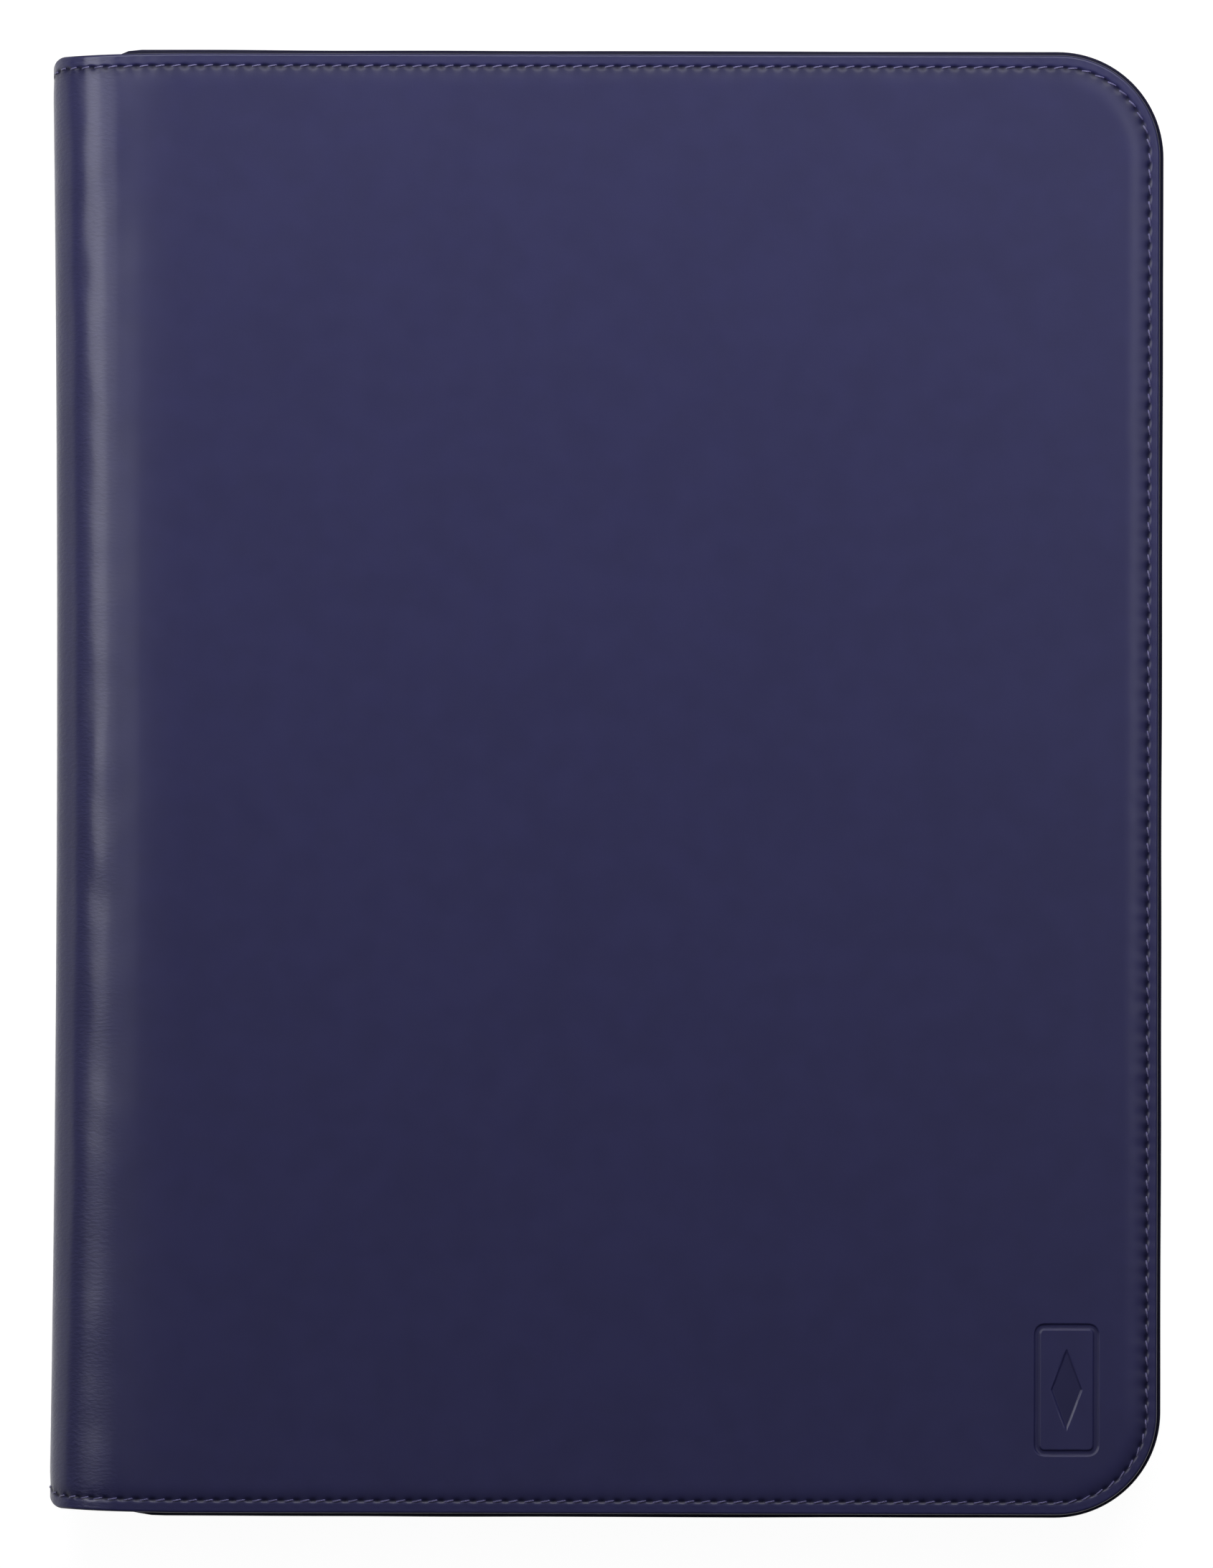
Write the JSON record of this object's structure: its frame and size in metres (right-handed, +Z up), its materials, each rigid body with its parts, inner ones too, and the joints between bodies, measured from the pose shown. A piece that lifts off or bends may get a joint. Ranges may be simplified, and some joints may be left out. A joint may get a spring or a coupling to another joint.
{
  "type": "tablet keyboard case",
  "caption": "Zip-around folio case that opens flat, with a tablet tray on a folding stand, a slim wireless keyboard, card pockets and a pen loop.",
  "frame": {"origin": "middle of the closed case's footprint, on the surface that its back cover lies on", "axes": "+X from the spine across the covers, +Y along the spine, +Z up through the closed covers"},
  "size_m": [0.2542, 0.335, 0.03],
  "materials": {
    "leather": "smooth semi-matte navy leatherette with a fine grain",
    "edge_leather": "the same leatherette, darker at the cut edge",
    "lining_fabric": "matte woven lining",
    "board": "grey-brown binder's board",
    "foam": "soft padding sheet",
    "zip_tape": "woven polyester tape",
    "zip_teeth": "moulded nylon",
    "zip_metal": "dark plated zinc alloy",
    "steel": "bright steel",
    "tray_plastic": "fine-textured black polycarbonate",
    "tray_liner": "microfibre",
    "rubber": "matte rubber",
    "keyboard_plastic": "fine-textured black",
    "key_rubber": "smooth matte black",
    "membrane": "clear polyester film with printed tracks",
    "circuit_board": "green solder mask",
    "battery_foil": "silver pouch foil",
    "light_lens": "clear moulded lens",
    "elastic": "woven elastic"
  },
  "bodies": {
    "back_cover": {"back_cover_leather": "leather", "back_cover_padding": "foam", "back_cover_board": "board", "back_cover_lining": "lining_fabric", "back_edge_band": "edge_leather", "back_zip_tape": "zip_tape", "back_zip_teeth": "zip_teeth", "back_hinge_leather": "leather", "zip_open_stop": "zip_metal", "zip_closed_stop": "zip_metal", "tray_hinge_pin": "steel", "hinge_block_left": "tray_plastic", "hinge_block_right": "tray_plastic", "pen_loop": "elastic"},
    "spine": {"spine_leather": "leather", "spine_board": "board", "spine_lining": "lining_fabric", "front_hinge_leather": "leather"},
    "front_cover": {"front_cover_leather": "leather", "front_cover_padding": "foam", "front_cover_board": "board", "front_cover_lining": "lining_fabric", "front_edge_band": "edge_leather", "front_zip_tape": "zip_tape", "front_zip_teeth": "zip_teeth", "keyboard_shell": "keyboard_plastic", "charge_port": "steel", "key_plate": "keyboard_plastic", "key_mat": "key_rubber", "key_membrane": "membrane", "keyboard_battery": "battery_foil", "keyboard_circuit": "circuit_board", "status_light": "light_lens", "grip_pad_left": "lining_fabric", "grip_pad_right": "lining_fabric", "card_pocket_left": "lining_fabric", "card_pocket_right": "lining_fabric"},
    "tray": {"tablet_tray": "tray_plastic", "tray_liner": "tray_liner", "corner_clip_1": "tray_plastic", "corner_clip_2": "tray_plastic", "corner_clip_3": "tray_plastic", "corner_clip_4": "tray_plastic", "tray_hinge_barrel": "tray_plastic", "leg_pin": "steel"},
    "leg": {"stand_leg": "steel", "stand_foot": "rubber"},
    "slider": {"zip_slider": "zip_metal", "puller_pin": "steel"},
    "puller": {"zip_puller": "zip_metal"},
    "switch": {"power_switch": "keyboard_plastic"},
    "button": {"pairing_button": "keyboard_plastic"}
  },
  "joints": [
    {"name": "spine_fold", "type": "hinge", "parent": "back_cover", "child": "spine", "pos_m": [-0.12115, 0, 0.006], "axis": [0, -1, 0], "range_deg": [0, 90], "deforming": ["back_hinge_leather"]},
    {"name": "cover_open", "type": "hinge", "parent": "spine", "child": "front_cover", "pos_m": [-0.12115, 0, 0.024], "axis": [0, -1, 0], "range_deg": [0, 90], "deforming": ["front_hinge_leather"]},
    {"name": "tray_lift", "type": "hinge", "parent": "back_cover", "child": "tray", "pos_m": [-0.106, 0, 0.0072], "axis": [0, -1, 0], "range_deg": [0, 66]},
    {"name": "leg_swing", "type": "hinge", "parent": "tray", "child": "leg", "pos_m": [-0.006, 0, 0.0072], "axis": [0, 1, 0], "range_deg": [0, 132]},
    {"name": "zip_slide", "type": "slide", "parent": "back_cover", "child": "slider", "axis": [1, 0, 0], "range_m": [0, 0.18]},
    {"name": "puller_swing", "type": "hinge", "parent": "slider", "child": "puller", "pos_m": [-0.0904, -0.1664, 0.015], "axis": [0, 0, -1], "range_deg": [0, 150]},
    {"name": "switch_slide", "type": "slide", "parent": "front_cover", "child": "switch", "axis": [0, 1, 0], "range_m": [0, 0.003]},
    {"name": "button_press", "type": "slide", "parent": "front_cover", "child": "button", "axis": [0, 0, 1], "range_m": [0, 0.0006], "stiffness_N_per_m": 400}
  ],
  "couplings": [
    {"joint": "cover_open", "follows": "spine_fold", "ratio": 1},
    {"joint": "tray_lift", "follows": "spine_fold", "ratio": 0.73},
    {"joint": "leg_swing", "follows": "spine_fold", "ratio": 1.46}
  ]
}
